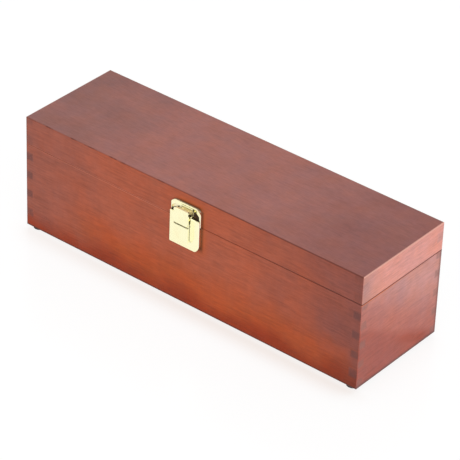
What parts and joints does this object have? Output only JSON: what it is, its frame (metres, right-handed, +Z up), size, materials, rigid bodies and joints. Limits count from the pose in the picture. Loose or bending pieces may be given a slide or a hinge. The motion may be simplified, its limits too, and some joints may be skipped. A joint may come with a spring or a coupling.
{
  "type": "hinged wooden wine box",
  "caption": "Long box-jointed wooden box for one wine bottle, with a hinged lid, a brass snap latch on the front, butt hinges at the back and small pads as feet.",
  "frame": {"origin": "on the standing surface, under the middle of the box's whole footprint, latch and hinges included", "axes": "+X along the box to the right as seen from the front, +Y to the back where the hinges are, +Z up"},
  "size_m": [0.35, 0.1172, 0.1085],
  "materials": {
    "stained_wood_long": "red-brown stain under satin lacquer, grain along the box",
    "stained_wood_end": "red-brown stain under satin lacquer, grain across the end",
    "stained_wood_panel": "mauve-brown stain under satin lacquer, cloudy grain",
    "stained_wood_lid_end": "paler red-brown stain under satin lacquer",
    "bare_wood": "plain sanded pale wood",
    "polished_brass": "polished and lacquered",
    "hinge_brass": "satin brass plating",
    "dark_pad": "soft matt rubber"
  },
  "bodies": {
    "base": {"base_front_board": "stained_wood_long", "base_back_board": "stained_wood_long", "base_left_end": "stained_wood_end", "base_right_end": "stained_wood_end", "base_bottom_panel": "stained_wood_panel", "foot_front_left": "dark_pad", "foot_front_right": "dark_pad", "foot_back_left": "dark_pad", "foot_back_right": "dark_pad", "bottle_body_rest": "bare_wood", "bottle_neck_rest": "bare_wood", "latch_base_plate": "polished_brass", "latch_housing": "polished_brass", "latch_pivot_pin": "polished_brass", "latch_base_nails": "polished_brass", "hinge_left_base_leaf": "hinge_brass", "hinge_left_pin": "hinge_brass", "hinge_right_base_leaf": "hinge_brass", "hinge_right_pin": "hinge_brass", "hinge_base_screws": "hinge_brass"},
    "lid": {"lid_front_board": "stained_wood_long", "lid_back_board": "stained_wood_long", "lid_left_end": "stained_wood_lid_end", "lid_right_end": "stained_wood_lid_end", "lid_top_panel": "stained_wood_panel", "latch_catch_plate": "polished_brass", "latch_catch_nails": "polished_brass", "hinge_left_lid_leaf": "hinge_brass", "hinge_right_lid_leaf": "hinge_brass", "hinge_lid_screws": "hinge_brass"},
    "lever": {"latch_lever": "polished_brass", "latch_hook_pin": "polished_brass"},
    "hook": {"latch_hook": "polished_brass"}
  },
  "joints": [
    {"name": "lid_hinge", "type": "hinge", "parent": "base", "child": "lid", "pos_m": [0, 0.05665, 0.08265], "axis": [-1, 0, 0], "range_deg": [0, 100]},
    {"name": "lever_pivot", "type": "hinge", "parent": "base", "child": "lever", "pos_m": [0, -0.05505, 0.089], "axis": [-1, 0, 0], "range_deg": [0, 85]},
    {"name": "hook_pivot", "type": "hinge", "parent": "lever", "child": "hook", "pos_m": [0, -0.05735, 0.0834], "axis": [-1, 0, 0], "range_deg": [-85, 0]}
  ],
  "couplings": [
    {"joint": "hook_pivot", "follows": "lever_pivot", "ratio": -1}
  ]
}
